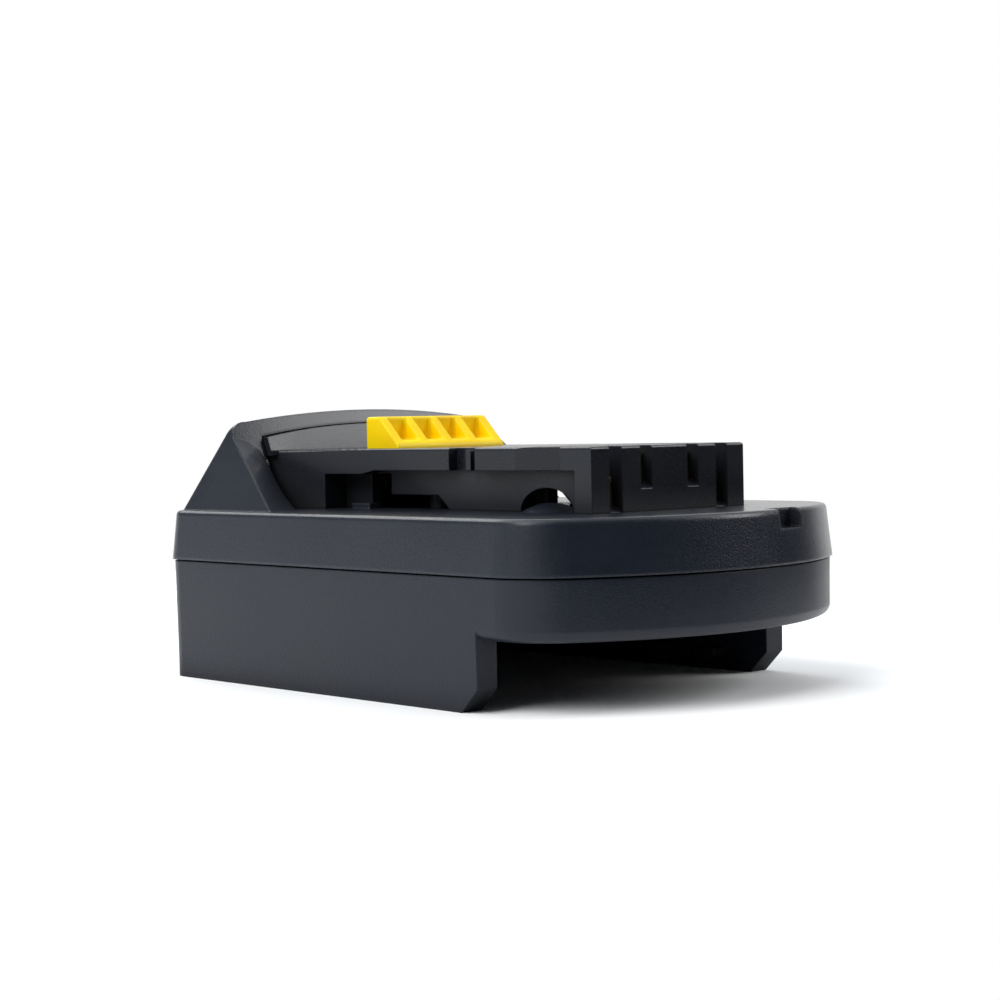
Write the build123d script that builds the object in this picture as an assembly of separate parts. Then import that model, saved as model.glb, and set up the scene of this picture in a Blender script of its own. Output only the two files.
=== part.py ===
from build123d import *
from math import atan2, cos, pi, sin, sqrt
import os

os.makedirs("parts", exist_ok=True)

# Frame: +X to the rounded nose, +Z up, origin under the middle of the box that holds the adapter.

# Outer body, measured at the lip round the seam
body_length = 123.6
body_width = 82.0
rear_corner_radius = 4.8
nose_radius = 60.0
nose_side_radius = 15.0
seam_height = 23.6
seam_gap = 0.3
deck_height = 33.8
rim_radius = 1.0
rim_round_shares = [(0, 1), (0.13, 0.5), (0.5, 0.13), (1, 0)]
lip_overhang = 0.5
floor_inset = 0.8
deck_inset = 1.1
rear_x = -body_length / 2
nose_x = body_length / 2

# Lower shell: side skirts, battery cavity and its ceiling
skirt_length = 95.2
skirt_wall = 4.65
skirt_chamfer_height = 4.24
skirt_chamfer_length = 4.32
ceiling_height = 12.75
ceiling_wall = 2.4
nose_edge_radius = 2.0
rear_wall = 3.6
shell_wall = 2.4
tongue_wall = 1.2
tongue_rise = 1.4
tongue_clearance = 0.15
guide_rib_depth = 3.2
guide_rib_bottom = 1.6
guide_rib_height = 2.8
guide_rib_setback = 11.2
hook_notch_setback = 24.0
hook_notch_length = 8.0
skirt_front_x = rear_x + skirt_length

# Deck and hood of the upper cover
deck_wall = 2.2
cover_wall = 2.0
crest_depth = 16.95
crest_height = 53.65
crest_land = 0.4
hood_side_inset = 2.1
hood_side_lean = 4.0
hood_side_top = 48.65
hood_shoulder_drop = 2.2
hood_shoulder_radius = 3.5
hood_back_run = 13.85
hood_back_bow = 1.4
hood_wall = 2.2
band_run = 1.16
band_drop = 2.9
band_bow = 2.7
ridge_foot_depth = 34.2
cheek_foot_depth = 28.7
cheek_top = 48.1
cheek_middle_depth = 21.3
cheek_middle_height = 40.9
crest_x = rear_x + crest_depth
hood_base_half = body_width / 2 - hood_side_inset
hood_shoulder_half = hood_base_half - hood_side_lean

# Nose notch in the deck rim
notch_offset = 12.2
notch_width = 7.4
notch_floor = 30.3
notch_depth = 4.2

# Slide rail
rail_top = 45.6
rail_half_width = 20.0
rail_setback = 20.0
flange_thickness = 4.2
web_half_width = 17.0
web_wall = 2.0
rail_roof = 2.2
rail_edge_radius = 0.5
front_block_length = 7.3
block_side_length = 4.3
shoulder_reach = 38.7
shoulder_side_inset = 12.6
shoulder_wall = 1.8
shoulder_sweep = 30.2
pocket_depth = 8.1
pocket_roof = 40.7
flange_step_start = 1.2
flange_step_run = 3.4
panel_top = 50.75
panel_side_top = 48.3
panel_reach = 3.65
panel_top_reach = 1.55
part_gap = 0.1
window_length = 6.1
low_opening_length = 14.1
low_opening_height = 2.8
low_opening_slope = 3.3
arch_half_width = 7.0
arch_height = 4.4
arch_setback = 14.6
dome_radius = 5.5
dome_height = 1.7
outer_slot_offset = 13.9
outer_slot_width = 3.2
outer_slot_floor = 34.7
inner_slot_offset = 6.1
inner_slot_width = 3.0
inner_slot_floor = 38.95
slot_length = 14.0
notch_one_setback = 30.7
notch_one_length = 7.3
notch_one_depth = 2.2
notch_rib_width = 1.4
notch_rib_setback = 1.7
wide_notch_setback = 8.0
wide_notch_length = 11.6
wide_notch_depth = 1.6
stiffener_half_gap = 7.0
stiffener_wall = 1.9
stiffener_length = 17.4
stiffener_lead = 3.3
groove_pad_length = 5.6
groove_pad_height = 1.1
rail_front_x = nose_x - rail_setback
shoulder_front_x = rear_x + shoulder_reach
shoulder_half_width = body_width / 2 - shoulder_side_inset

# Release latch: ribbed wedge, carriage, arm and thumb pad in one moulding
latch_clearance = 0.35
wedge_width = 28.2
wedge_rear_lead = 4.9
wedge_top_length = 4.1
wedge_base_length = 9.9
wedge_top = 51.9
wedge_rib_count = 5
wedge_rib_width = 2.1
wedge_pocket_inset = 3.9
wedge_pocket_floor = 47.2
wedge_lip = 0.6
carriage_gap = 0.3
carriage_wall = 1.6
carriage_half_width = 14.4
carriage_lead = 5.4
carriage_drop = 1.4
arm_half_width = 13.2
arm_wall = 2.2
latch_bay_half = 14.8
pad_half_width = 11.7
pad_rear_inset = 7.4
pad_front_inset = 14.1
pad_proud = 0.7
pad_wall = 2.0
pad_bottom = 38.5
pad_groove_count = 5
pad_groove_radius = 0.55
spring_radius = 3.05
spring_wire_radius = 0.4
spring_turns = 6
spring_steps = 10
spring_wire_sides = 6
spring_seat = 24.0
spring_offset = 10.4
spring_setback = 14.0
spring_pin_radius = 1.9
spring_pin_length = 2.6
spring_tower_radius = 4.4

# Inside: board, contacts, pack terminals, leads and screws
board_thickness = 1.6
board_height = 19.0
board_rear_x = -13.0
board_front_x = 44.0
board_half_width = 25.0
post_radius = 2.8
screw_radius = 1.3
screw_head_radius = 2.6
screw_head_height = 1.8
screw_clearance = 0.15
case_screw_length = 14.5
short_screw_length = 7.0
board_screw_length = 4.2
boss_radius = 3.7
boss_web = 2.0
rear_boss_inset = 10.6
rear_boss_side_inset = 8.6
rail_boss_radius = 2.3
rail_boss_front_setback = 24.8
rail_boss_front_half = 9.95
rail_boss_rear_reach = 14.6
rail_boss_rear_half = 11.4
carrier_length = 7.8
carrier_half_width = 18.4
carrier_margin = 0.8
carrier_socket = 1.5
carrier_pocket = 3.0
contact_thickness = 0.5
contact_half = 1.1
contact_pinch = 0.25
contact_lead_in = 1.2
contact_depth = 5.6
contact_stem = 2.4
contact_reach = 5.4
contact_gap = 0.2
contact_setback = 2.0
slot_ramp_length = 1.6
slot_ramp_drop = 1.1
holder_rear_inset = 10.6
holder_length = 8.5
holder_half_width = 20.0
holder_drop = 9.4
holder_flange = 3.0
holder_front_flange = 0.6
holder_ear = 8.0
holder_screw_inset = 4.0
holder_flange_height = 2.0
blade_thickness = 0.8
blade_height = 5.2
blade_reach = 13.0
blade_bottom = 4.6
power_blade_offset = 16.0
signal_blade_offset = 5.0
blade_tail_top = 20.4
blade_tail_length = 2.5
blade_tail_setback = 4.0
lead_start = 19.0
lead_bend = 6.0
lead_sides = 8
power_lead_offset = 17.4
signal_lead_offset = 2.8
lead_end_inset = 4.0
power_lead_radius = 1.3
signal_lead_radius = 0.6
capacitor_inset = 15.0
capacitor_radius = 4.0
capacitor_height = 8.2
capacitor_plinth = 0.8
heat_sink_x = 3.0
heat_sink_y = 17.0
heat_sink_half_width = 6.0
heat_sink_height = 7.6
fin_thickness = 0.8
fin_reach = 8.0
fin_count = 6
transistor_depth = 4.0
transistor_half_width = 4.8
transistor_height = 6.6
transistor_lift = 1.2
transistor_leg = 0.8
transistor_pitch = 2.5
chip_x = 4.0
chip_y = -7.4
chip_pitch = 1.27
chip_half_width = 2.0
chip_height = 1.6
chip_lift = 0.2
fuse_x = 4.0
fuse_y = -17.0
fuse_half_length = 6.0
fuse_half_width = 2.2
fuse_height = 7.0
fuse_lift = 0.8
board_corner_radius = 1.5
cut_overrun = 1.0
post_sides = 16


def prism(points, run):
    """Straight prism: a closed outline of 3-D points pushed along a vector."""
    return Solid.extrude(make_face(Polyline(*points, close=True)).face(), Vector(*run))


def block(x0, x1, y0, y1, z0, z1):
    """Rectangular solid between two corners."""
    size = Box(x1 - x0, y1 - y0, z1 - z0)
    return Pos((x0 + x1) / 2, (y0 + y1) / 2, (z0 + z1) / 2) * size


def both_sides(shape):
    """A shape and its mirror image across the centre plane."""
    return shape + mirror(shape, about=Plane.XZ)


def post(x, y, z0, z1, radius):
    """Upright post with enough sides to pass for round."""
    return Pos(x, y, z0) * extrude(RegularPolygon(radius, post_sides), z1 - z0)


def outline(inset, level):
    """Body outline at one level: straight sides, rounded rear corners, D-shaped nose."""
    half = body_width / 2 - inset
    rear = rear_x + inset
    corner = rear_corner_radius - inset
    front_radius = nose_radius - inset
    side_radius = nose_side_radius - inset
    front_centre = nose_x - nose_radius
    side_y = body_width / 2 - nose_side_radius
    reach = sqrt((nose_radius - nose_side_radius) ** 2 - side_y ** 2)
    side_x = front_centre + reach
    turn = atan2(side_y, reach)
    middle = (turn + pi / 2) / 2
    bend = corner * sin(pi / 4)
    near_x = side_x + side_radius * cos(middle)
    near_y = side_y + side_radius * sin(middle)
    join_x = front_centre + front_radius * cos(turn)
    join_y = front_radius * sin(turn)
    turn_x = rear + corner
    turn_y = half - corner
    edges = [
        ThreePointArc((side_x, half), (near_x, near_y), (join_x, join_y)),
        ThreePointArc((join_x, join_y), (nose_x - inset, 0), (join_x, -join_y)),
        ThreePointArc((join_x, -join_y), (near_x, -near_y), (side_x, -half)),
        Line((side_x, -half), (turn_x, -half)),
        ThreePointArc((turn_x, -half), (turn_x - bend, -turn_y - bend), (rear, -turn_y)),
        Line((rear, -turn_y), (rear, turn_y)),
        ThreePointArc((rear, turn_y), (turn_x - bend, turn_y + bend), (turn_x, half)),
        Line((turn_x, half), (side_x, half)),
    ]
    return Pos(0, 0, level) * make_face(Curve() + edges)


def tapered(low_inset, low, high_inset, high):
    """Body outline lofted between two levels."""
    return loft([outline(low_inset, low), outline(high_inset, high)], ruled=True)


rear_boss_half = body_width / 2 - rear_boss_side_inset
case_screws = [
    (rear_x + rear_boss_inset, rear_boss_half),
    (rear_x + rear_boss_inset, -rear_boss_half),
    (rail_front_x - arch_setback, web_half_width - web_wall / 2),
    (rail_front_x - arch_setback, -web_half_width + web_wall / 2),
]
board_posts = [
    (board_rear_x + post_radius, board_half_width - post_radius),
    (board_rear_x + post_radius, post_radius - board_half_width),
]
rail_screws = [
    (rail_front_x - rail_boss_front_setback, rail_boss_front_half),
    (rail_front_x - rail_boss_front_setback, -rail_boss_front_half),
    (shoulder_front_x + rail_boss_rear_reach, rail_boss_rear_half),
    (shoulder_front_x + rail_boss_rear_reach, -rail_boss_rear_half),
]
carriage_front_x = shoulder_front_x + carriage_lead
spring_x = shoulder_front_x - spring_setback
spring_places = [(spring_x, spring_offset), (spring_x, -spring_offset)]
ceiling_top = ceiling_height + ceiling_wall
holder_x = rear_x + holder_rear_inset
holder_front_x = holder_x + holder_length
board_top = board_height + board_thickness
flange_under = rail_top - flange_thickness
contact_x = rail_front_x - contact_setback - contact_depth
carrier_rear_x = contact_x - carrier_margin
case_seat = ceiling_top + screw_head_height
slots = [
    (outer_slot_offset, outer_slot_width, outer_slot_floor),
    (-outer_slot_offset, outer_slot_width, outer_slot_floor),
    (inner_slot_offset, inner_slot_width, inner_slot_floor),
    (-inner_slot_offset, inner_slot_width, inner_slot_floor),
]
blade_offsets = {
    "positive": -power_blade_offset,
    "negative": power_blade_offset,
    "signal_left": signal_blade_offset,
    "signal_right": -signal_blade_offset,
}
holder_screws = [
    (holder_x + holder_length / 2, holder_half_width + holder_screw_inset),
    (holder_x + holder_length / 2, -holder_half_width - holder_screw_inset),
]
deck_under = deck_height - deck_wall
cover_bottom = seam_height + seam_gap


def make_lower_shell():
    """Skirts, nose floor and side walls, with a hollow that holds the board."""
    shell = tapered(floor_inset, 0, lip_overhang, seam_height)
    shell -= block(skirt_front_x, nose_x + cut_overrun, -body_width, body_width,
                   -cut_overrun, ceiling_height)
    under = shell.edges().filter_by_position(Axis.Z, ceiling_height, ceiling_height)
    under = [e for e in under if e.center().X > skirt_front_x + cut_overrun]
    shell = fillet(under, nose_edge_radius)
    inner_y = body_width / 2 - floor_inset - skirt_wall
    shell -= block(rear_x + rear_wall, nose_x + cut_overrun, -inner_y, inner_y,
                   -cut_overrun, ceiling_height)
    chamfer_side = [
        (skirt_front_x - skirt_chamfer_length, -body_width, 0),
        (skirt_front_x, -body_width, skirt_chamfer_height),
        (skirt_front_x + cut_overrun, -body_width, skirt_chamfer_height),
        (skirt_front_x + cut_overrun, -body_width, -cut_overrun),
        (skirt_front_x - skirt_chamfer_length, -body_width, -cut_overrun),
    ]
    shell -= prism(chamfer_side, (0, 2 * body_width, 0))
    shell -= extrude(outline(lip_overhang + shell_wall, ceiling_top), seam_height)
    ring_inset = lip_overhang + shell_wall - tongue_wall / 2
    root = extrude(outline(ring_inset, seam_height - tongue_wall * 2), tongue_wall * 2)
    root -= extrude(outline(lip_overhang + shell_wall + tongue_wall, ceiling_top), seam_height)
    tongue_inset = lip_overhang + cover_wall + tongue_clearance * 2
    rise = tongue_wall + seam_gap + tongue_rise
    tongue = extrude(outline(tongue_inset, seam_height - tongue_wall), rise)
    tongue -= extrude(outline(lip_overhang + shell_wall + tongue_wall, ceiling_top), seam_height)
    shell += root + tongue
    rib_y = inner_y - guide_rib_depth
    rib_top = guide_rib_bottom + guide_rib_height
    rib_front = skirt_front_x - guide_rib_setback
    rib_side = [
        (rear_x + rear_wall, rib_y, guide_rib_bottom),
        (rib_front - guide_rib_height, rib_y, guide_rib_bottom),
        (rib_front, rib_y, guide_rib_bottom + guide_rib_height / 2),
        (rib_front, rib_y, rib_top),
        (rear_x + rear_wall, rib_y, rib_top),
    ]
    rib = Part() + prism(rib_side, (0, guide_rib_depth + skirt_wall / 2, 0))
    hook_x = skirt_front_x - hook_notch_setback
    rib -= block(hook_x, hook_x + hook_notch_length, rib_y - cut_overrun, inner_y,
                 -cut_overrun, ceiling_height)
    shell += both_sides(rib)
    for x, y in case_screws:
        shell += post(x, y, ceiling_top - ceiling_wall / 2, seam_height, boss_radius)
        shell -= post(x, y, -cut_overrun, seam_height + cut_overrun, screw_radius + screw_clearance)
        shell -= post(x, y, -cut_overrun, ceiling_top + screw_head_height,
                      screw_head_radius + screw_clearance)
    for x, y in board_posts:
        shell += post(x, y, ceiling_top - ceiling_wall / 2, board_height, post_radius)
        shell -= post(x, y, ceiling_top, board_height + cut_overrun, screw_radius)
    for x, y in spring_places:
        shell += post(x, y, ceiling_top - ceiling_wall / 2, spring_seat, spring_tower_radius)
        shell += post(x, y, spring_seat, spring_seat + spring_pin_length, spring_pin_radius)
    for x, y in holder_screws:
        shell -= post(x, y, ceiling_top - board_screw_length, ceiling_top + cut_overrun,
                      screw_radius)
    hold = holder_half_width + tongue_clearance
    shell -= block(holder_x - tongue_clearance, holder_front_x + tongue_clearance, -hold, hold,
                   -cut_overrun, ceiling_top + cut_overrun)
    return shell


def arch_face(x, base, base_half, side_half, side_top, crest, drop, radius):
    """Hood section across the body: leaning sides, round shoulders and a low arch."""
    shoulder_y = side_half - radius
    points = [(x, -base_half, base), (x, -side_half, side_top)]
    rise = crest - drop
    arc = ThreePointArc((x, -shoulder_y, rise), (x, 0, crest), (x, shoulder_y, rise))
    corner = radius * (1 - sin(pi / 4))
    mid_y = side_half - corner
    mid_z = side_top + (rise - side_top) * sin(pi / 4)
    left = ThreePointArc((x, -side_half, side_top), (x, -mid_y, mid_z), (x, -shoulder_y, rise))
    right = ThreePointArc((x, shoulder_y, rise), (x, mid_y, mid_z), (x, side_half, side_top))
    edges = [
        Line((x, base_half, base), (x, -base_half, base)),
        Line(points[0], points[1]),
        left,
        arc,
        right,
        Line((x, side_half, side_top), (x, base_half, base)),
    ]
    return make_face(Curve() + edges)


def leaning_block(x, bow, slope, depth, base):
    """Block with one bowed face that leans and crosses the crest's height at x."""
    rise = crest_height + cut_overrun - base
    low_x = x - slope * (crest_height - base)
    half = hood_base_half + cut_overrun
    edges = [
        ThreePointArc((low_x + bow, -half, base), (low_x, 0, base), (low_x + bow, half, base)),
        Line((low_x + bow, half, base), (low_x + depth, half, base)),
        Line((low_x + depth, half, base), (low_x + depth, -half, base)),
        Line((low_x + depth, -half, base), (low_x + bow, -half, base)),
    ]
    return Solid.extrude(make_face(Curve() + edges).face(), Vector(slope * rise, 0, rise))


def hood_body(wall, base):
    """Hood inset by a wall: a back slope and a leaning front that meet along the arched crest."""
    section = arch_face(
        rear_x,
        base,
        hood_base_half - wall,
        hood_shoulder_half - wall,
        hood_side_top - wall,
        crest_height - wall,
        hood_shoulder_drop,
        hood_shoulder_radius,
    )
    back_slope = hood_back_run / (crest_height - deck_height)
    front_slope = band_run / band_drop
    back_x = crest_x - crest_land / 2 + wall * sqrt(1 + back_slope ** 2)
    front_x = crest_x + crest_land / 2 - wall * sqrt(1 + front_slope ** 2)
    back = leaning_block(back_x, hood_back_bow, back_slope, ridge_foot_depth, base)
    front = leaning_block(front_x, -band_bow, -front_slope, -ridge_foot_depth, base)
    return extrude(section, ridge_foot_depth, dir=(1, 0, 0)) & back & front


def band_x(y, z):
    """Place of the hood's front face across and up the body."""
    share = y / (hood_base_half + cut_overrun)
    return crest_x + (crest_height - z) * band_run / band_drop - band_bow * share ** 2


def make_wing():
    """Near cheek of the hood: from the end of the band it sweeps down to the deck."""
    base = deck_height - deck_wall / 2
    rear = crest_x - hood_wall
    inner_y = -shoulder_half_width - part_gap
    foot_x = rear_x + cheek_foot_depth
    tip_x = rear_x + ridge_foot_depth
    lean = hood_side_lean / (hood_side_top - base)
    tip_y = lean * (deck_height - base) - hood_base_half
    start = (band_x(inner_y, cheek_top) - part_gap, inner_y, cheek_top)
    middle = (rear_x + cheek_middle_depth, inner_y, cheek_middle_height)
    foot = (foot_x, inner_y, deck_height)
    inner = make_face(Curve() + [
        Line((rear, inner_y, base), start),
        ThreePointArc(start, middle, foot),
        Line(foot, (foot_x, inner_y, base)),
        Line((foot_x, inner_y, base), (rear, inner_y, base)),
    ])
    apex_x = band_x(hood_shoulder_half, hood_side_top) - part_gap
    outer = make_face(Polyline(
        (rear, -hood_base_half, base),
        (apex_x, -hood_shoulder_half, hood_side_top),
        (tip_x, tip_y, deck_height),
        (tip_x, -hood_base_half, base),
        close=True,
    ))
    return loft([inner, outer], ruled=True)


def panel_face(x, gap):
    """Outline of the arch panel that closes the hood's front, grown by a gap."""
    half = shoulder_half_width - part_gap + gap
    low = rail_top - rail_roof / 2
    side = panel_side_top + gap
    top = panel_top + gap
    return make_face(Curve() + [
        Line((x, -half, low), (x, -half, side)),
        ThreePointArc((x, -half, side), (x, 0, top), (x, half, side)),
        Line((x, half, side), (x, half, low)),
        Line((x, half, low), (x, -half, low)),
    ])


def make_upper_cover():
    """Deck with its drafted rim and the arched hood at the rear."""
    wall_share = 1 - rim_radius / (deck_height - cover_bottom)
    steps = [(0, cover_bottom)]
    for in_share, down_share in rim_round_shares:
        inset = deck_inset * wall_share + rim_radius * in_share
        steps.append((inset, deck_height - rim_radius * down_share))
    cover = Part()
    for low, high in zip(steps, steps[1:]):
        cover += tapered(low[0], low[1], high[0], high[1])
    cover -= tapered(lip_overhang + cover_wall, cover_bottom - cut_overrun,
                     deck_inset + cover_wall, deck_under)
    hood = Part() + hood_body(0, deck_height - deck_wall / 2)
    hood += both_sides(Part() + make_wing())
    open_y = shoulder_half_width + part_gap
    hood -= block(crest_x, rear_x + ridge_foot_depth, -open_y, open_y,
                  deck_height - deck_wall, rail_top)
    hood -= extrude(panel_face(crest_x, 2 * part_gap), ridge_foot_depth, dir=(1, 0, 0))
    edge_plan = extrude(outline(deck_inset + rim_radius / 2, deck_under), crest_height)
    cover += hood & edge_plan
    cavity = block(rear_x, crest_x - hood_wall, -body_width, body_width, deck_under, crest_height)
    cover -= hood_body(hood_wall, deck_under) & cavity
    bay = latch_bay_half
    cover -= block(rear_x + pad_rear_inset - latch_clearance, crest_x, -bay, bay,
                   deck_under - cut_overrun, deck_height + cut_overrun)
    cover -= block(crest_x - cut_overrun, carriage_front_x + latch_clearance, -bay, bay,
                   deck_under - cut_overrun, deck_height + cut_overrun)
    cover -= block(crest_x - hood_wall * 2, crest_x + cut_overrun, -bay, bay,
                   deck_under, rail_top - rail_roof + part_gap)
    pad_y = pad_half_width + latch_clearance
    cover -= block(rear_x + pad_rear_inset - latch_clearance,
                   rear_x + pad_front_inset + latch_clearance, -pad_y, pad_y,
                   deck_under, crest_height)
    cover -= block(carrier_rear_x - part_gap, carrier_rear_x + carrier_length + part_gap,
                   -carrier_half_width - part_gap, carrier_half_width + part_gap,
                   deck_under - cut_overrun, deck_height + cut_overrun)
    notch_x = nose_x - deck_inset - notch_depth
    cover -= block(notch_x, nose_x + cut_overrun, notch_offset - notch_width / 2,
                   notch_offset + notch_width / 2, notch_floor, deck_height + cut_overrun)
    notch_back = block(notch_x - cover_wall, notch_x, notch_offset - notch_width,
                       notch_offset + notch_width, notch_floor - cover_wall, deck_under)
    notch_base = block(notch_x - cover_wall, nose_x - deck_inset - cover_wall * 2,
                       notch_offset - notch_width, notch_offset + notch_width,
                       notch_floor - cover_wall, notch_floor)
    cover += notch_back + notch_base
    for x, y in case_screws:
        cover += post(x, y, cover_bottom, deck_under + deck_wall / 2, boss_radius)
    wall_y = body_width / 2 - deck_inset
    boss_x = rear_x + rear_boss_inset
    web = block(boss_x - boss_web / 2, boss_x + boss_web / 2, rear_boss_half + boss_web, wall_y,
                cover_bottom + cover_wall, deck_under)
    cover += both_sides(Part() + web)
    pad = block(shoulder_front_x - groove_pad_length / 2, shoulder_front_x + groove_pad_length / 2,
                web_half_width, rail_half_width, deck_height - deck_wall / 2,
                deck_height + groove_pad_height)
    cover += both_sides(Part() + pad)
    for x, y in rail_screws:
        cover -= post(x, y, deck_under - cut_overrun, deck_height + cut_overrun,
                      screw_radius + screw_clearance)
    for x, y in case_screws[2:]:
        drop = (dome_radius ** 2 - dome_height ** 2) / (2 * dome_height)
        ball = Pos(x, y, deck_height - drop) * Sphere(drop + dome_height)
        disc = Pos(x, y, deck_height) * Cylinder(dome_radius, 2 * dome_height)
        cover += ball & disc
    for x, y in case_screws:
        cover -= post(x, y, cover_bottom - cut_overrun, deck_height - rim_radius, screw_radius)
    return cover


def slot_cut(y, width, floor):
    """Slot open at the top and the front, with a small ramp at the front of its floor."""
    back = rail_front_x - front_block_length
    end = rail_front_x + cut_overrun
    side = [
        (back, y - width / 2, rail_top + cut_overrun),
        (back, y - width / 2, floor),
        (rail_front_x - slot_ramp_length, y - width / 2, floor),
        (end, y - width / 2, floor - slot_ramp_drop * (1 + cut_overrun / slot_ramp_length)),
        (end, y - width / 2, rail_top + cut_overrun),
    ]
    cut = Part() + prism(side, (0, width, 0))
    run_back = rail_front_x - front_block_length - slot_length
    return cut + block(run_back, back + cut_overrun, y - width / 2, y + width / 2,
                       flange_under - cut_overrun, rail_top + cut_overrun)


def rail_plan(inset, level):
    """Outline of the rail from above: it widens to the hood in a concave sweep."""
    back_x = crest_x + part_gap
    sweep_x = crest_x + shoulder_sweep
    half = rail_half_width - inset
    wide = shoulder_half_width - inset
    flare = wide - half
    mid_x = (back_x + sweep_x) / 2
    mid_y = half + flare / 4
    return Pos(0, 0, level) * make_face(Curve() + [
        Line((back_x, wide), (back_x, -wide)),
        ThreePointArc((back_x, -wide), (mid_x, -mid_y), (sweep_x, -half)),
        Line((sweep_x, -half), (rail_front_x, -half)),
        Line((rail_front_x, -half), (rail_front_x, half)),
        Line((rail_front_x, half), (sweep_x, half)),
        ThreePointArc((sweep_x, half), (mid_x, mid_y), (back_x, wide)),
    ])


def make_slide_rail():
    """Rail moulding: flanges, webs with arches, slotted front block, shoulder and arch panel."""
    roof_under = rail_top - rail_roof
    back_x = crest_x + part_gap
    rail = Part() + extrude(rail_plan(0, deck_height), rail_top - deck_height)
    top = [e for e in rail.edges().filter_by_position(Axis.Z, rail_top, rail_top)
           if e.center().X > back_x + cut_overrun]
    rail = fillet(top, rail_edge_radius)
    panel_y = shoulder_half_width - part_gap
    panel_low = rail_top - rail_roof / 2
    lean = [
        (back_x, -panel_y, panel_low),
        (crest_x + panel_reach, -panel_y, panel_low),
        (crest_x + panel_reach, -panel_y, rail_top),
        (crest_x + panel_top_reach, -panel_y, panel_top),
        (back_x, -panel_y, panel_top),
    ]
    panel = extrude(panel_face(back_x, 0), panel_reach, dir=(1, 0, 0))
    rail += panel & prism(lean, (0, 2 * panel_y, 0))
    groove_rear = shoulder_front_x - pocket_depth
    step_x = shoulder_front_x + flange_step_start
    low_z = deck_height - cut_overrun
    groove = [
        (groove_rear, web_half_width, low_z),
        (groove_rear, web_half_width, pocket_roof),
        (step_x, web_half_width, pocket_roof),
        (step_x + flange_step_run, web_half_width, flange_under),
        (rail_front_x - block_side_length, web_half_width, flange_under),
        (rail_front_x - block_side_length, web_half_width, low_z),
    ]
    rail -= both_sides(Part() + prism(groove, (0, shoulder_half_width, 0)))
    inner_y = web_half_width - web_wall
    block_back = rail_front_x - front_block_length
    rail -= block(back_x - cut_overrun, block_back, -inner_y, inner_y,
                  deck_height - cut_overrun, roof_under)
    hollow = extrude(rail_plan(shoulder_wall, low_z), roof_under - low_z)
    hollow &= block(back_x, groove_rear - shoulder_wall, web_half_width, shoulder_half_width,
                    low_z, roof_under)
    window_x = shoulder_front_x + window_length
    pocket = Part() + hollow
    pocket += block(shoulder_front_x, window_x, inner_y - cut_overrun,
                    rail_half_width + cut_overrun, low_z, pocket_roof)
    ramp_x = window_x + low_opening_length
    low_top = deck_height + low_opening_height
    low = [
        (window_x - cut_overrun, inner_y - cut_overrun, deck_height - cut_overrun),
        (window_x - cut_overrun, inner_y - cut_overrun, low_top),
        (ramp_x, inner_y - cut_overrun, low_top),
        (ramp_x + low_opening_slope, inner_y - cut_overrun, deck_height),
        (ramp_x + low_opening_slope, inner_y - cut_overrun, deck_height - cut_overrun),
    ]
    pocket += prism(low, (0, web_wall + 2 * cut_overrun, 0))
    arch_x = rail_front_x - arch_setback
    arch = make_face(Curve() + [
        EllipticalCenterArc((0, 0), arch_half_width, arch_height, arc_size=180),
        Line((-arch_half_width, 0), (arch_half_width, 0)),
    ])
    arch_run = web_wall + 2 * cut_overrun
    arch = Pos(arch_x, inner_y - cut_overrun, deck_height) * Rot(X=90) * extrude(arch, -arch_run)
    pocket += arch
    notch_x = rail_front_x - notch_one_setback - notch_one_length
    pocket += block(notch_x, notch_x + notch_one_length, rail_half_width - notch_one_depth,
                    rail_half_width + cut_overrun, flange_under - cut_overrun,
                    rail_top + cut_overrun)
    wide_x = rail_front_x - wide_notch_setback - wide_notch_length
    wide_end = wide_x + wide_notch_length
    wide_cut = [
        (wide_x, rail_half_width, flange_under - cut_overrun),
        (wide_end, rail_half_width - wide_notch_depth, flange_under - cut_overrun),
        (wide_end, rail_half_width + cut_overrun, flange_under - cut_overrun),
        (wide_x, rail_half_width + cut_overrun, flange_under - cut_overrun),
    ]
    pocket += prism(wide_cut, (0, 0, rail_top - flange_under + 2 * cut_overrun))
    rail -= both_sides(pocket)
    rib_x = notch_x + notch_one_length - notch_rib_setback - notch_rib_width
    extra = block(rib_x, rib_x + notch_rib_width, rail_half_width - notch_one_depth * 2,
                  rail_half_width - rail_edge_radius, flange_under, rail_top - rail_edge_radius)
    stiffener_x = carriage_front_x + stiffener_lead
    extra += block(stiffener_x, stiffener_x + stiffener_length, stiffener_half_gap,
                   stiffener_half_gap + stiffener_wall, deck_height, rail_top - rail_roof / 2)
    for x, y in rail_screws[::2]:
        extra += post(x, y, deck_height, rail_top - rail_roof / 2, rail_boss_radius)
    rail += both_sides(extra)
    for x, y in rail_screws:
        rail -= post(x, y, deck_height - cut_overrun, roof_under - cut_overrun, screw_radius)
    for y, width, floor in slots:
        rail -= slot_cut(y, width, floor)
        well = contact_half + contact_gap
        rail -= block(contact_x - part_gap, contact_x + contact_depth + part_gap, y - well, y + well,
                      deck_height - cut_overrun, floor + cut_overrun)
    window_rear = shoulder_front_x - wedge_rear_lead - latch_clearance
    window_front = shoulder_front_x - wedge_rear_lead + wedge_base_length + latch_clearance
    window_y = wedge_width / 2 + latch_clearance
    rail -= block(window_rear, window_front, -window_y, window_y, roof_under - cut_overrun,
                  rail_top + cut_overrun)
    return rail


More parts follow.
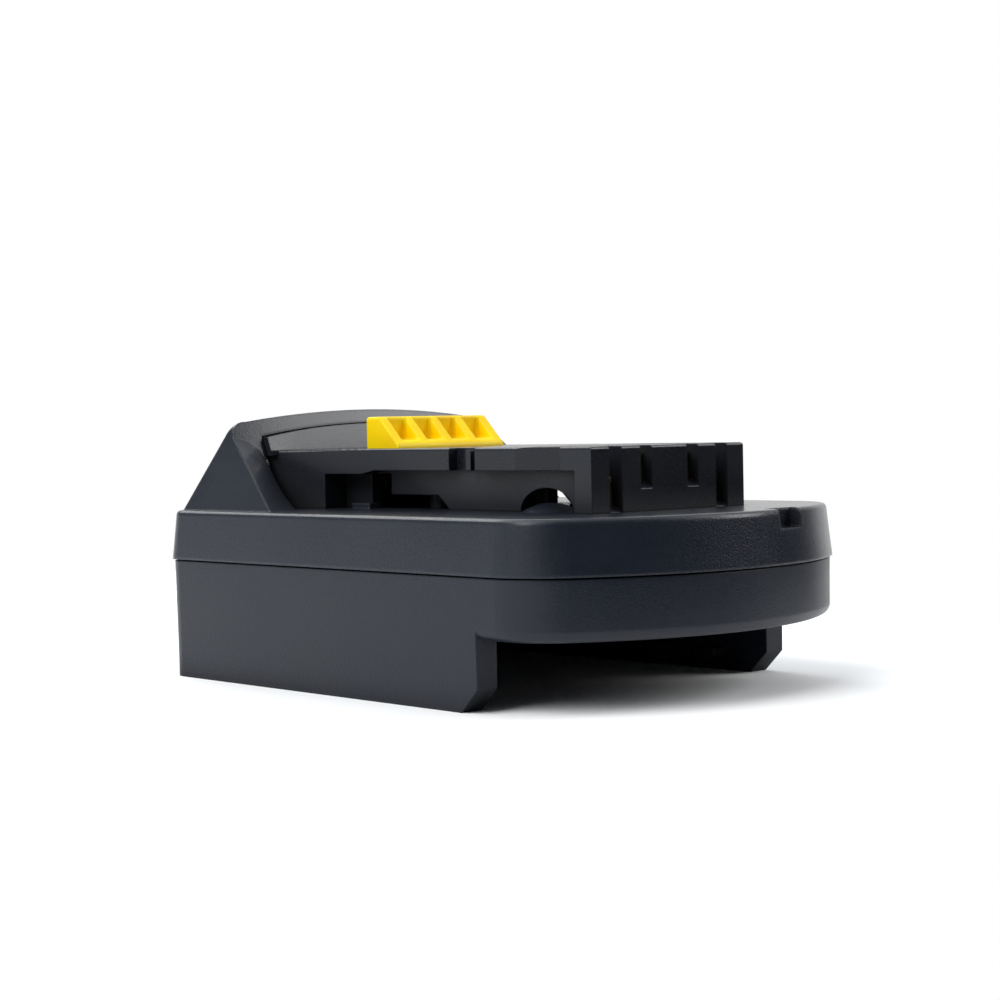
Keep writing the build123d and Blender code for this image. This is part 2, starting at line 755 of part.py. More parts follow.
def make_latch():
    """Ribbed wedge, carriage, arm and thumb pad, moulded as one piece."""
    roof_under = rail_top - rail_roof
    carriage_top = roof_under - carriage_gap
    wedge_rear = shoulder_front_x - wedge_rear_lead
    half = wedge_width / 2
    wedge = [
        (wedge_rear, -half, carriage_top - carriage_wall),
        (wedge_rear, -half, wedge_top),
        (wedge_rear + wedge_top_length, -half, wedge_top),
        (wedge_rear + wedge_base_length, -half, rail_top + wedge_lip),
        (wedge_rear + wedge_base_length, -half, carriage_top - carriage_wall),
    ]
    latch = Part() + prism(wedge, (0, wedge_width, 0))
    pitch = (wedge_width - wedge_rib_width) / (wedge_rib_count - 1)
    for i in range(wedge_rib_count - 1):
        y = wedge_rib_width - half + pitch * i
        latch -= block(wedge_rear + wedge_pocket_inset, wedge_rear + wedge_base_length + cut_overrun,
                       y, y + pitch - wedge_rib_width, wedge_pocket_floor, wedge_top)
    latch += block(wedge_rear - carriage_drop, carriage_front_x, -carriage_half_width,
                   carriage_half_width, carriage_top - carriage_wall, carriage_top)
    arm_under = carriage_top - arm_wall
    arm_rear = rear_x + pad_front_inset - pad_wall / 2
    latch += block(arm_rear, wedge_rear + wedge_top_length, -arm_half_width, arm_half_width,
                   arm_under, carriage_top)
    slope = (crest_height - deck_height) / hood_back_run
    pad_rear = rear_x + pad_rear_inset
    pad_front = rear_x + pad_front_inset
    rear_top = crest_height - (crest_x - pad_rear) * slope + pad_proud
    front_top = crest_height - (crest_x - pad_front) * slope + pad_proud
    sides = [
        (pad_rear, -pad_half_width, pad_bottom),
        (pad_rear, -pad_half_width, rear_top),
        (pad_front, -pad_half_width, front_top),
        (pad_front, -pad_half_width, pad_bottom),
    ]
    core_y = pad_half_width - pad_wall
    core = [
        (pad_rear + pad_wall, -core_y, pad_bottom - cut_overrun),
        (pad_rear + pad_wall, -core_y, rear_top),
        (pad_front - pad_wall, -core_y, front_top - pad_wall * slope - pad_wall * 2 + pad_proud),
        (pad_front - pad_wall, -core_y, pad_bottom - cut_overrun),
    ]
    latch += prism(sides, (0, 2 * pad_half_width, 0)) - prism(core, (0, 2 * core_y, 0))
    for i in range(pad_groove_count):
        share = (i + 1) / (pad_groove_count + 1)
        x = pad_rear + (pad_front - pad_rear) * share
        z = rear_top + (front_top - rear_top) * share
        latch -= Pos(x, 0, z) * Rot(X=90) * Cylinder(pad_groove_radius, 2 * core_y)
    for x, y in spring_places:
        latch += post(x, y, arm_under - spring_pin_length / 2, arm_under, spring_pin_radius)
    return latch


def make_spring(x, y):
    """Compression spring: straight runs of six-sided wire, with a close coil at each end."""
    arm_under = rail_top - rail_roof - carriage_gap - arm_wall
    low = spring_seat + spring_wire_radius
    height = arm_under - spring_wire_radius - low
    close = 2 * spring_wire_radius + part_gap
    pitch = (height - 2 * close) / (spring_turns - 2)
    sections = []
    for i in range(spring_turns * spring_steps + 1):
        turns = i / spring_steps
        middle = min(max(turns - 1, 0), spring_turns - 2)
        rise = middle * pitch + (turns - middle) * close
        place = Pos(x, y, low + rise) * Rot(Z=360 * turns) * Pos(spring_radius, 0, 0)
        sections.append(place * Rot(X=90) * RegularPolygon(spring_wire_radius, spring_wire_sides))
    return loft(sections, ruled=True)


def make_carrier():
    """Insulating block that stands on the board and holds the contacts."""
    x = contact_x - carrier_margin
    carrier = block(x, x + carrier_length, -carrier_half_width, carrier_half_width,
                    board_top, deck_height - part_gap)
    foot = contact_half + part_gap
    for y, width, floor in slots:
        carrier -= block(contact_x, contact_x + contact_depth, y - foot, y + foot,
                         deck_height - carrier_socket, deck_height)
        carrier -= block(contact_x, contact_x + contact_stem, y - contact_thickness / 2,
                         y + contact_thickness / 2, board_top - cut_overrun, deck_height)
    for y in (-outer_slot_offset + outer_slot_width * 2, 0, outer_slot_offset - outer_slot_width * 2):
        carrier -= block(x - cut_overrun, x + carrier_pocket, y - carrier_pocket / 2,
                         y + carrier_pocket / 2, board_top + carrier_pocket,
                         deck_under - carrier_pocket)
    return carrier


def make_contact(y, floor):
    """Fork contact: two leaves that pinch together, on a stem that reaches the board."""
    base = deck_height - carrier_socket
    tip = floor + contact_reach
    pinch = tip - contact_lead_in
    inner = contact_half - contact_thickness
    leaf = [
        (contact_x, inner, base),
        (contact_x, inner, floor),
        (contact_x, contact_pinch, pinch),
        (contact_x, inner, tip),
        (contact_x, contact_half, tip),
        (contact_x, contact_pinch + contact_thickness, pinch),
        (contact_x, contact_half, floor),
        (contact_x, contact_half, base),
    ]
    contact = both_sides(Part() + prism(leaf, (contact_depth, 0, 0)))
    contact += block(contact_x, contact_x + contact_depth, -contact_half, contact_half,
                     base, base + contact_thickness)
    contact += block(contact_x, contact_x + contact_stem, -contact_thickness / 2,
                     contact_thickness / 2, board_top, base + contact_thickness)
    return Pos(0, y, 0) * contact


def make_board():
    """Circuit board with holes for the screw bosses and the board screws."""
    board = block(board_rear_x, board_front_x, -board_half_width, board_half_width,
                  board_height, board_top)
    corners = board.edges().filter_by(Axis.Z)
    board = fillet(corners, board_corner_radius)
    for x, y in case_screws[2:]:
        board -= post(x, y, board_height - cut_overrun, board_top + cut_overrun,
                      boss_radius + screw_clearance * 2)
    for x, y in board_posts:
        board -= post(x, y, board_height - cut_overrun, board_top + cut_overrun,
                      screw_radius + screw_clearance)
    return board


def make_blade(y):
    """Flat terminal: a horizontal tongue into the pack and a tail up through the holder."""
    tail_x = holder_front_x - blade_tail_setback - blade_tail_length
    half = blade_thickness / 2
    blade = block(tail_x, holder_front_x + blade_reach, y - half, y + half,
                  blade_bottom, blade_bottom + blade_height)
    tip = blade.edges().filter_by(Axis.Y).sort_by(Axis.X)[-2:]
    blade = chamfer(tip, blade_thickness)
    return blade + block(tail_x, tail_x + blade_tail_length, y - half, y + half,
                         blade_bottom, blade_tail_top)


def make_holder():
    """Insulating block in the cavity ceiling with a screwed flange above it."""
    holder = block(holder_x, holder_front_x, -holder_half_width, holder_half_width,
                   ceiling_height - holder_drop, ceiling_top)
    low = holder.edges().filter_by_position(Axis.Z, ceiling_height - holder_drop,
                                            ceiling_height - holder_drop)
    holder = chamfer(low, blade_thickness)
    ear_y = holder_half_width + holder_ear
    flange = block(holder_x - holder_flange, holder_front_x + holder_front_flange, -ear_y, ear_y,
                   ceiling_top, ceiling_top + holder_flange_height)
    holder += fillet(flange.edges().filter_by(Axis.Z), holder_front_flange)
    for x, y in holder_screws:
        holder -= post(x, y, ceiling_top - cut_overrun, ceiling_top + 2 * holder_flange_height,
                       screw_radius + screw_clearance)
    for y in blade_offsets.values():
        holder -= make_blade(y)
    return holder


def make_lead(y_tail, y_board, radius):
    """Insulated wire from a blade's tail over the ceiling, ending flat on the board."""
    tail_x = holder_front_x - blade_tail_setback
    start = (tail_x, y_tail, lead_start)
    middle = (spring_x - 2 * spring_tower_radius, y_tail, lead_start)
    turn = (spring_x + 2 * spring_tower_radius, y_board, board_top + radius)
    end = (board_rear_x + lead_end_inset, y_board, board_top + radius)
    path = FilletPolyline(start, middle, turn, end, radius=lead_bend)
    section = Plane(path @ 0, z_dir=path % 0) * RegularPolygon(radius, lead_sides)
    return sweep(section, path=path)


def screw(x, y, seat, length):
    """Screw pointing up, with a cross recess under its head."""
    body = post(x, y, seat - screw_head_height, seat, screw_head_radius)
    body += post(x, y, seat, seat + length, screw_radius)
    for turn in (0, 90):
        cross = Box(screw_radius * 2, screw_radius / 2, screw_radius)
        body -= Pos(x, y, seat - screw_head_height) * Rot(Z=turn) * cross
    return body


def turned_screw(x, y, seat, length):
    """The same screw, driven down from above."""
    return Pos(x, y, seat) * Rot(X=180) * screw(0, 0, 0, length)


def make_capacitor():
    """Can capacitor standing on the board on a square plinth."""
    x = board_rear_x + capacitor_inset
    foot = block(x - capacitor_radius, x + capacitor_radius, -capacitor_radius, capacitor_radius,
                 board_top, board_top + capacitor_plinth)
    can = post(x, 0, board_top + capacitor_plinth, board_top + capacitor_height,
               capacitor_radius - part_gap)
    return foot + chamfer(can.faces().sort_by(Axis.Z)[-1].edges(), capacitor_plinth / 2)


def make_transistor():
    """Power transistor standing on three legs against the heat sink."""
    x = heat_sink_x - transistor_depth
    y = heat_sink_y
    body = block(x, heat_sink_x, y - transistor_half_width, y + transistor_half_width,
                 board_top + transistor_lift, board_top + transistor_lift + transistor_height)
    body = chamfer(body.edges().filter_by(Axis.Z).sort_by(Axis.X)[:2], board_thickness / 3)
    for i in (-1, 0, 1):
        leg_y = y + i * transistor_pitch
        half = transistor_leg / 2
        mid_x = x + transistor_depth / 2
        body += block(mid_x - half, mid_x + half, leg_y - half, leg_y + half, board_top,
                      board_top + 2 * transistor_lift)
    return body


def make_heat_sink():
    """Plate with upright fins."""
    y0 = heat_sink_y - heat_sink_half_width
    top = board_top + heat_sink_height
    sink = block(heat_sink_x, heat_sink_x + fin_thickness * 2, y0, y0 + 2 * heat_sink_half_width,
                 board_top, top)
    pitch = (2 * heat_sink_half_width - fin_thickness) / (fin_count - 1)
    for i in range(fin_count):
        y = y0 + pitch * i
        sink += block(heat_sink_x, heat_sink_x + fin_reach, y, y + fin_thickness, board_top, top)
    return sink


def make_chip():
    """Flat chip with a row of legs on each long side."""
    half_x = chip_pitch * 2
    chip = block(chip_x - half_x, chip_x + half_x, chip_y - chip_half_width,
                 chip_y + chip_half_width, board_top + chip_lift, board_top + chip_height)
    leg = chip_pitch / 3
    for i in range(4):
        x = chip_x - half_x + chip_pitch * (i + 1 / 2)
        for side in (-1, 1):
            y = chip_y + side * (chip_half_width + leg)
            chip += block(x - leg / 2, x + leg / 2, y - leg, y + leg, board_top,
                          board_top + chip_height / 2)
    return chip


def make_fuse():
    """Blade fuse link across two clips."""
    x0 = fuse_x - fuse_half_length
    x1 = fuse_x + fuse_half_length
    half = fuse_half_width
    low = board_top + fuse_lift
    fuse = block(x0, x1, fuse_y - half, fuse_y + half, low, board_top + fuse_height)
    for x in (x0 + half, x1 - half):
        fuse += block(x - half / 2, x + half / 2, fuse_y - half / 2, fuse_y + half / 2,
                      board_top, low + half)
    return fuse


PARTS = {
    "lower_shell": make_lower_shell,
    "upper_cover": make_upper_cover,
    "slide_rail": make_slide_rail,
    "release_latch": make_latch,
    "latch_spring_left": lambda: make_spring(*spring_places[0]),
    "latch_spring_right": lambda: make_spring(*spring_places[1]),
    "contact_carrier": make_carrier,
    "tool_contact_positive": lambda: make_contact(-outer_slot_offset, outer_slot_floor),
    "tool_contact_negative": lambda: make_contact(outer_slot_offset, outer_slot_floor),
    "tool_contact_signal_left": lambda: make_contact(inner_slot_offset, inner_slot_floor),
    "tool_contact_signal_right": lambda: make_contact(-inner_slot_offset, inner_slot_floor),
    "circuit_board": make_board,
    "blade_holder": make_holder,
    "pack_blade_positive": lambda: make_blade(blade_offsets["positive"]),
    "pack_blade_negative": lambda: make_blade(blade_offsets["negative"]),
    "pack_blade_signal_left": lambda: make_blade(blade_offsets["signal_left"]),
    "pack_blade_signal_right": lambda: make_blade(blade_offsets["signal_right"]),
    "positive_lead": lambda: make_lead(-power_blade_offset, -power_lead_offset, power_lead_radius),
    "negative_lead": lambda: make_lead(power_blade_offset, power_lead_offset, power_lead_radius),
    "signal_lead_left": lambda: make_lead(signal_blade_offset, signal_lead_offset,
                                          signal_lead_radius),
    "signal_lead_right": lambda: make_lead(-signal_blade_offset, -signal_lead_offset,
                                           signal_lead_radius),
    "capacitor": make_capacitor,
    "power_transistor": make_transistor,
    "heat_sink": make_heat_sink,
    "control_chip": make_chip,
    "fuse": make_fuse,
    "case_screws": lambda: Part() + [screw(x, y, case_seat, case_screw_length)
                                     for x, y in case_screws],
    "rail_screws": lambda: Part() + [screw(x, y, deck_under, short_screw_length)
                                     for x, y in rail_screws],
    "board_screws": lambda: Part() + [turned_screw(x, y, board_top, board_screw_length)
                                      for x, y in board_posts],
    "holder_screws": lambda: Part() + [turned_screw(x, y, ceiling_top + holder_flange_height,
                                                    board_screw_length)
                                       for x, y in holder_screws],
}

for name, make in PARTS.items():
    export_step(make(), f"parts/{name}.step")
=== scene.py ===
import math

import bpy
from mathutils import Matrix, Vector

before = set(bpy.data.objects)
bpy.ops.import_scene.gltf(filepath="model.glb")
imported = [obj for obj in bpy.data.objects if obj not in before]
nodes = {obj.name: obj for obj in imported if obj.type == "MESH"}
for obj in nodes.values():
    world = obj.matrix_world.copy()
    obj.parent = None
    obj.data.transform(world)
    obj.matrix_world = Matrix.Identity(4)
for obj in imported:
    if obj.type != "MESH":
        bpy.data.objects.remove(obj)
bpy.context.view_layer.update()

# Camera.
# The adapter is seen from the front right corner, level with the slide rail,
# as a hand would hold it up to a tool.
camera_place = Vector((0.30357, -0.27857, 0.04961))
camera_turn, camera_tilt, camera_roll = (math.radians(a) for a in (47.85, 2.02, -1.21))
camera_back = Vector((
    math.sin(camera_turn) * math.cos(camera_tilt),
    -math.cos(camera_turn) * math.cos(camera_tilt),
    math.sin(camera_tilt),
))
level_right = Vector((math.cos(camera_turn), math.sin(camera_turn), 0))
level_up = camera_back.cross(level_right)
camera_right = level_right * math.cos(camera_roll) + level_up * math.sin(camera_roll)
camera_up = level_up * math.cos(camera_roll) - level_right * math.sin(camera_roll)
camera_data = bpy.data.cameras.new("camera")
camera_data.sensor_width = 36.0
camera_data.lens = 75.84
camera_data.clip_start = 0.01
camera = bpy.data.objects.new("camera", camera_data)
camera.matrix_world = Matrix.Translation(camera_place) @ Matrix(
    (camera_right, camera_up, camera_back)
).transposed().to_4x4()
bpy.context.scene.collection.objects.link(camera)
bpy.context.scene.camera = camera


# Lower shell.
# The bottom moulding: glass-filled nylon in blue-black, with a fine spark-eroded
# texture from the mould, standing on its two skirts.
class Shade:
    """A socket of a material's node; arithmetic on it adds Math nodes."""

    def __init__(self, tree, socket=None):
        self.tree = tree
        self.socket = socket

    def add(self, kind, settings=None, inputs=None, out=0):
        """Adds any node: its settings first, then the values and links of its sockets."""
        made = self.tree.nodes.new("ShaderNode" + kind)
        for name, value in (settings or {}).items():
            setattr(made, name, value)
        for name, value in (inputs or {}).items():
            if isinstance(value, Shade):
                self.tree.links.new(value.socket, made.inputs[name])
            else:
                made.inputs[name].default_value = value
        return Shade(self.tree, made.outputs[out] if made.outputs else None)

    def math(self, operation, first, second):
        return self.add("Math", {"operation": operation}, {0: first, 1: second})

    def __add__(self, other):
        return self.math("ADD", self, other)

    __radd__ = __add__

    def __sub__(self, other):
        return self.math("SUBTRACT", self, other)

    def __rsub__(self, other):
        return self.math("SUBTRACT", other, self)

    def __mul__(self, other):
        return self.math("MULTIPLY", self, other)

    def fade(self, low, high, start=0.0, end=1.0):
        """Runs smoothly from start to end as the value goes from low to high."""
        settings = {"interpolation_type": "SMOOTHSTEP"}
        ends = {"From Min": low, "From Max": high, "To Min": start, "To Max": end}
        return self.add("MapRange", settings, {"Value": self, **ends})

    def between(self, first, second):
        """Mixes two colours, with this value as the factor."""
        settings = {"data_type": "RGBA"}
        colour_a, colour_b, mixed = 6, 7, 2
        inputs = {"Factor": self, colour_a: first, colour_b: second}
        return self.add("Mix", settings, inputs, out=mixed)

    def noise(self, scale, detail=2.0, rough=0.5):
        """Noise on the object's own coordinates; scale is in lumps to the metre."""
        inputs = {"Vector": self, "Scale": scale, "Detail": detail, "Roughness": rough}
        return self.add("TexNoise", None, inputs)


def start_material(name):
    """A new material and its place on the object, in metres."""
    material = bpy.data.materials.new(name)
    material.use_nodes = True
    material.node_tree.nodes.clear()
    return material, Shade(material.node_tree).add("TexCoord", out="Object")


def close_material(place, inputs):
    """Sends a shader with these sockets to the material's output."""
    surface = place.add("BsdfPrincipled", None, inputs)
    place.add("OutputMaterial", None, {"Surface": surface})


def dress(material, *names):
    """Puts a material on the slots of CAD nodes."""
    for name in names:
        for slot in nodes[name].material_slots:
            slot.material = material


def edge_normal(place, radius):
    """The normal with every edge rounded off, and a mask that is 1 along the edges."""
    soft = place.add("Bevel", {"samples": 6}, {"Radius": radius})
    flat = place.add("NewGeometry", out="Normal")
    dot = {"operation": "DOT_PRODUCT"}
    lean = place.add("VectorMath", dot, {0: soft, 1: flat}, out="Value")
    return soft, (1 - lean).fade(0.01, 0.12)


def moulded_body(name, dark, light, roughness, grain_depth, edge_radius, polish):
    """Textured nylon: fine grain, a faint cloudy mottle, painted shade in recesses, edges
    painted lighter as wear and highlight.
    """
    material, place = start_material(name)
    soft, edge = edge_normal(place, edge_radius)
    # Ambient occlusion finds the recesses: their colour gets painted shade, and they are made
    # rougher.
    ao = place.add("AmbientOcclusion", {"samples": 8}, {"Distance": 0.009}, out="AO")
    painted_recess_shade = ao.fade(0.3, 0.8, 1.0, 0.0)
    cloud = place.noise(45.0, 3.0)
    grain = place.noise(2600.0, 2.0, 0.6)
    flow = place.add("Mapping", None, {"Vector": place, "Scale": (30.0, 30.0, 160.0)})
    streak = flow.noise(1.0, 3.0)
    tone = (cloud * 0.6 + streak * 0.4).fade(0.3, 0.7)
    speck = grain.fade(0.35, 0.75)
    plain = (tone * 0.7 + speck * 0.3).between(dark, light)
    # Edges are painted lighter, partly as wear and partly as a painted highlight; recesses are
    # painted darker, as shade.
    wear_and_highlight_gain, painted_shade_gain = 2.2, 0.4
    wear_and_painted_highlight = tuple(c * wear_and_highlight_gain for c in light[:3]) + (1.0,)
    painted_shade = tuple(c * painted_shade_gain for c in dark[:3]) + (1.0,)
    colour = (painted_recess_shade * 0.8).between((edge * 0.4).between(plain, wear_and_painted_highlight), painted_shade)
    rough = (
        roughness + (tone - 0.5) * 0.08 + (speck - 0.5) * 0.08
        - edge * 0.06 + painted_recess_shade * 0.3
    )
    height = grain + cloud * 0.5
    normal = place.add("Bump", None, {
        "Strength": 0.8, "Distance": grain_depth, "Height": height, "Normal": soft,
    })
    close_material(place, {
        "Base Color": colour,
        "Roughness": rough,
        "Normal": normal,
        "Specular IOR Level": 0.3,
        "Coat Weight": (1 - painted_recess_shade) * polish,
        "Coat Roughness": 0.16,
    })
    return material


shell_plastic = moulded_body(
    "shell_plastic", dark=(0.0062, 0.0086, 0.0155, 1), light=(0.0094, 0.0126, 0.0215, 1),
    roughness=0.38, grain_depth=0.00006, edge_radius=0.0004, polish=0.05,
)
dress(shell_plastic, "lower_shell")

# Upper cover.
# The top moulding in the same nylon, with a polished rim round the deck whose
# edge is also painted lighter as a highlight, and the arched hood that shields the latch.
cover_plastic = moulded_body(
    "cover_plastic", dark=(0.0068, 0.0092, 0.0158, 1), light=(0.0102, 0.0134, 0.0218, 1),
    roughness=0.35, grain_depth=0.00008, edge_radius=0.0008, polish=0.4,
)
dress(cover_plastic, "upper_cover")

# Slide rail.
# A separate, smoother moulding screwed to the deck; the tool's foot runs on it,
# so it is a little shinier than the shell.
rail_plastic = moulded_body(
    "rail_plastic", dark=(0.0070, 0.0088, 0.0135, 1), light=(0.0102, 0.0124, 0.0180, 1),
    roughness=0.32, grain_depth=0.00004, edge_radius=0.0003, polish=0.2,
)
dress(rail_plastic, "slide_rail")

# Release latch.
# One yellow acetal moulding: ribbed wedge, carriage and thumb pad. Its walls are
# thin enough for light to warm the pockets between the ribs. Flat facets are
# merged first, so that only the wedge's real edges are rounded.
latch_yellow, place = start_material("latch_yellow")
soft, edge = edge_normal(place, 0.0006)
cloud = place.noise(120.0, 2.0)
grain = place.noise(1800.0, 2.0)
deep_yellow, clear_yellow = (0.98, 0.64, 0.0, 1), (1.0, 0.71, 0.0, 1)
colour = cloud.fade(0.3, 0.7).between(deep_yellow, clear_yellow)
# Edges are painted a paler yellow, as a painted highlight.
colour = (edge * 0.5).between(colour, (1.0, 0.77, 0.01, 1))
normal = place.add("Bump", None, {
    "Strength": 0.3, "Distance": 0.00003, "Height": grain, "Normal": soft,
})
close_material(place, {
    "Base Color": colour,
    "Roughness": 0.36 + cloud * 0.06,
    "Specular IOR Level": 0.2,
    "Subsurface Weight": 0.25,
    "Subsurface Radius": (0.9, 0.5, 0.1),
    "Subsurface Scale": 0.0015,
    "Normal": normal,
})
dress(latch_yellow, "release_latch")
latch = nodes["release_latch"]
wedge_rear, wedge_foot = -0.031, 0.046
weld_gap, flat_angle, wedge_round = 0.000002, math.radians(2), 0.0005
spots = [(corner.index, latch.matrix_world @ corner.co) for corner in latch.data.vertices]
wedge = latch.vertex_groups.new(name="wedge")
wedge.add([
    index for index, spot in spots if spot.x > wedge_rear and spot.z > wedge_foot
], 1.0, "REPLACE")
for kind, settings in (
    ("WELD", {"merge_threshold": weld_gap}),
    ("DECIMATE", {"decimate_type": "DISSOLVE", "angle_limit": flat_angle}),
    ("BEVEL", {"width": wedge_round, "segments": 3, "limit_method": "VGROUP",
               "vertex_group": "wedge", "use_clamp_overlap": False}),
):
    rounding = latch.modifiers.new("rounding", kind)
    for setting, value in settings.items():
        setattr(rounding, setting, value)


# Latch springs.
# Two coil springs of drawn steel wire that push the latch up.
def metal(name, dark, light, roughness, lines):
    """Bare metal with fine drawing lines and a little tarnish."""
    material, place = start_material(name)
    soft, edge = edge_normal(place, 0.0001)
    stretch = place.add("Mapping", None, {"Vector": place, "Scale": lines})
    line = stretch.noise(1.0, 3.0)
    tarnish = place.noise(400.0, 3.0).fade(0.4, 0.75)
    colour = (line * 0.5 + tarnish * 0.5).between(light, dark)
    normal = place.add("Bump", None, {
        "Strength": 0.2, "Distance": 0.00002, "Height": line, "Normal": soft,
    })
    close_material(place, {
        "Base Color": colour,
        "Metallic": 1.0,
        "Roughness": roughness + tarnish * 0.12 - edge * 0.05,
        "Normal": normal,
    })
    return material


spring_steel = metal(
    "spring_steel", (0.30, 0.29, 0.27, 1), (0.52, 0.52, 0.53, 1), 0.28, (900.0, 900.0, 6000.0)
)
dress(spring_steel, "latch_spring_left", "latch_spring_right")


# Contact carrier and blade holder.
# Black flame-proof nylon blocks that keep the terminals apart.
def insulator(name, tone, roughness):
    """Plain black moulding with a faint flow pattern."""
    material, place = start_material(name)
    soft, edge = edge_normal(place, 0.0002)
    flow = place.noise(220.0, 4.0)
    pale = (tone * 1.7, tone * 1.7, tone * 1.8, 1)
    colour = flow.fade(0.3, 0.7).between((tone, tone, tone, 1), pale)
    normal = place.add("Bump", None, {
        "Strength": 0.3, "Distance": 0.00003, "Height": place.noise(3000.0), "Normal": soft,
    })
    close_material(place, {
        "Base Color": colour,
        "Roughness": roughness + flow * 0.1 - edge * 0.08,
        "Normal": normal,
    })
    return material


dress(insulator("carrier_plastic", 0.008, 0.42), "contact_carrier", "blade_holder")

# Terminals.
# Fork contacts for the tool and blades for the pack, stamped from bare brass.
contact_brass = metal(
    "contact_brass", (0.50, 0.35, 0.15, 1), (0.64, 0.48, 0.23, 1), 0.3, (300.0, 5000.0, 300.0)
)
dress(contact_brass, *[n for n in nodes if "contact_" in n and n != "contact_carrier"])
dress(contact_brass, *[n for n in nodes if n.startswith("pack_blade")])

# Circuit board.
# Glass-epoxy board with green solder mask over copper tracks.
board_mask, place = start_material("board_mask")
tracks = place.add("TexBrick", {"offset": 0.5}, {
    "Vector": place,
    "Color1": (0.004, 0.09, 0.035, 1),
    "Color2": (0.006, 0.13, 0.05, 1),
    "Mortar": (0.02, 0.20, 0.08, 1),
    "Scale": 220.0,
    "Mortar Size": 0.03,
    "Brick Width": 0.9,
})
weave = place.noise(2500.0, 2.0)
close_material(place, {
    "Base Color": weave.fade(0.3, 0.7, 0.0, 0.25).between(tracks, (0.002, 0.05, 0.02, 1)),
    "Roughness": 0.22 + weave * 0.1,
    "Normal": place.add("Bump", None, {"Strength": 0.3, "Distance": 0.00002, "Height": weave}),
})
dress(board_mask, "circuit_board")

# Parts on the board.
# Transistor and chip in black epoxy, an aluminium can capacitor, an aluminium
# fin block and a blade fuse in orange plastic.
dress(insulator("chip_epoxy", 0.012, 0.5), "power_transistor", "control_chip")
dress(metal(
    "can_aluminium", (0.34, 0.34, 0.35, 1), (0.62, 0.62, 0.64, 1), 0.3, (200.0, 200.0, 4000.0)
), "capacitor")
dress(metal(
    "fin_aluminium", (0.48, 0.48, 0.49, 1), (0.74, 0.74, 0.76, 1), 0.32, (200.0, 200.0, 5000.0)
), "heat_sink")
fuse_body, place = start_material("fuse_body")
cloud = place.noise(500.0, 2.0)
close_material(place, {
    "Base Color": cloud.between((0.70, 0.16, 0.01, 1), (0.86, 0.26, 0.02, 1)),
    "Roughness": 0.2 + cloud * 0.08,
})
dress(fuse_body, "fuse")


# Leads.
# Stranded wires in silicone rubber, from the pack blades to the board.
def sleeve(name, colour):
    """Soft rubber with a faint extrusion line."""
    material, place = start_material(name)
    soft = edge_normal(place, 0.0004)[0]
    stretch = place.add("Mapping", None, {"Vector": place, "Scale": (120.0, 2500.0, 2500.0)})
    line = stretch.noise(1.0)
    dust = tuple(0.7 * c + 0.02 for c in colour[:3]) + (1,)
    close_material(place, {
        "Base Color": line.fade(0.3, 0.7).between(colour, dust),
        "Roughness": 0.5 + line * 0.15,
        "Normal": place.add("Bump", None, {
            "Strength": 0.2, "Distance": 0.00003, "Height": line, "Normal": soft,
        }),
    })
    return material


dress(sleeve("lead_red", (0.45, 0.015, 0.01, 1)), "positive_lead")
dress(sleeve("lead_black", (0.012, 0.012, 0.013, 1)), "negative_lead")
dress(sleeve("lead_white", (0.62, 0.61, 0.57, 1)), "signal_lead_left", "signal_lead_right")

# Screws.
# Zinc-plated steel with a cross recess; four hold the case, four the rail,
# two the board and two the blade holder.
screw_steel = metal(
    "screw_steel", (0.20, 0.20, 0.20, 1), (0.45, 0.45, 0.46, 1), 0.3, (1500.0, 1500.0, 300.0)
)
dress(screw_steel, "case_screws", "rail_screws", "board_screws", "holder_screws")

# Floor.
# White card that the adapter stands on, with the soft shadow it throws.
floor_near, floor_far = 0.14, -0.6
floor_mesh = bpy.data.meshes.new("floor")
floor_mesh.from_pydata(
    [(x, y, 0.0) for x, y in (
        (floor_far, floor_far), (floor_near, floor_far),
        (floor_near, floor_near), (floor_far, floor_near),
    )],
    [], [(0, 1, 2, 3)],
)
floor = bpy.data.objects.new("floor", floor_mesh)
bpy.context.scene.collection.objects.link(floor)
floor_card = bpy.data.materials.new("floor_card")
floor_card.use_nodes = True
floor_card.node_tree.nodes.clear()
paper = Shade(floor_card.node_tree)
card = paper.add("BsdfDiffuse", None, {"Color": (1.0, 1.0, 1.0, 1)})
paper.add("OutputMaterial", None, {"Surface": card})
floor_mesh.materials.append(floor_card)

# Light.
# A white tent, open on the nose's side, with a white backdrop behind the hood
# and a broad roof. Three softboxes hang above it: beyond the nose, over the near
# side and behind the hood.
world = bpy.data.worlds.new("tent")
bpy.context.scene.world = world
world.use_nodes = True
world.node_tree.nodes.clear()
tent = Shade(world.node_tree)
ray = tent.add("TexCoord", out="Generated")


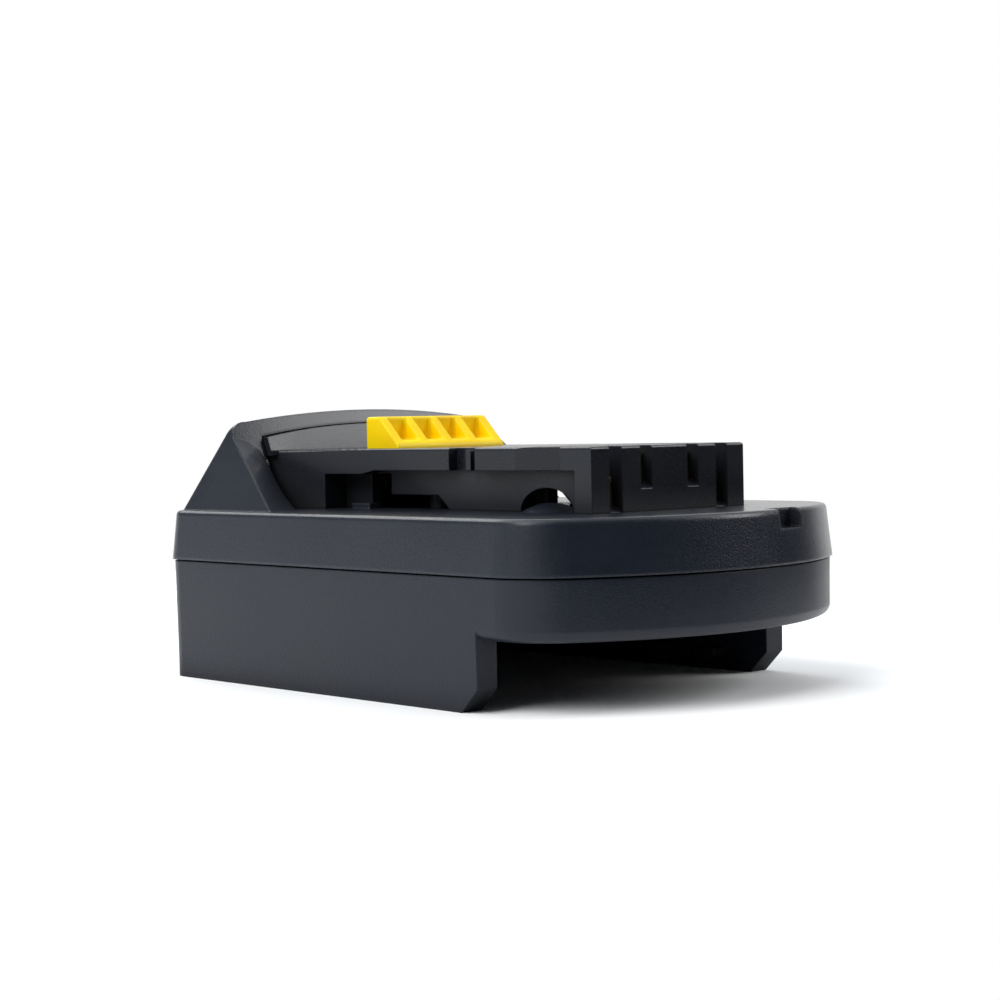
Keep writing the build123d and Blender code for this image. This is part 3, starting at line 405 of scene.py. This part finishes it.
def toward(x, y):
    """How far a ray points to one side, from -1 to 1."""
    dot = {"operation": "DOT_PRODUCT"}
    return tent.add("VectorMath", dot, {0: ray, 1: (x, y, 0.0)}, out="Value")


height = tent.add("SeparateXYZ", None, {"Vector": ray}, out="Z")
left_side, backdrop_side, hood_side = (-0.743, -0.669), (-0.743, 0.669), (-1.0, 0.0)
left_wall = toward(*left_side).fade(-0.3, 0.9, 0.03, 0.8)
backdrop = toward(*backdrop_side).fade(0.6, 0.95, 0.0, 0.85)
walls = (left_wall + backdrop) * height.fade(0.0, 0.32, 1.0, 0.2)
roof = height.fade(0.42, 0.62) * toward(*hood_side).fade(-0.7, 0.7, 0.5, 1.2)
tent_cloth = (0.92, 0.96, 1.0)
glow = tent.add("VectorMath", {"operation": "SCALE"}, {0: tent_cloth, "Scale": walls + roof})
lit = tent.add("Background", None, {"Color": glow, "Strength": 1.0})
plain = tent.add("Background", None, {"Color": (1, 1, 1, 1), "Strength": 1.0})
# The camera and glass see plain white all round, and polish sees it toward the backdrop.
behind = toward(*backdrop_side).fade(0.6, 0.95)
mirrored = tent.add("LightPath", out="Is Glossy Ray") * behind
through = tent.add("LightPath", out="Is Transmission Ray")
seen = tent.add("LightPath", out="Is Camera Ray") + through + mirrored
tent.add("OutputWorld", None, {
    "Surface": tent.add("MixShader", None, {0: seen, 1: lit, 2: plain}),
})


def hang_light(name, direction, energy, spread):
    """A distant softbox in one direction, as wide as its spread in degrees."""
    data = bpy.data.lights.new(name, "SUN")
    data.energy = energy
    data.angle = math.radians(spread)
    lamp = bpy.data.objects.new(name, data)
    lamp.rotation_euler = Vector(direction).to_track_quat("Z", "Y").to_euler()
    bpy.context.scene.collection.objects.link(lamp)


hang_light("nose_softbox", (0.54, 0.67, 0.51), 1.45, 32)
hang_light("near_softbox", (-0.05, -0.70, 0.71), 2.1, 46)
hang_light("rear_softbox", (-0.75, 0.12, 0.65), 0.45, 26)

bpy.context.scene.view_settings.view_transform = "Standard"
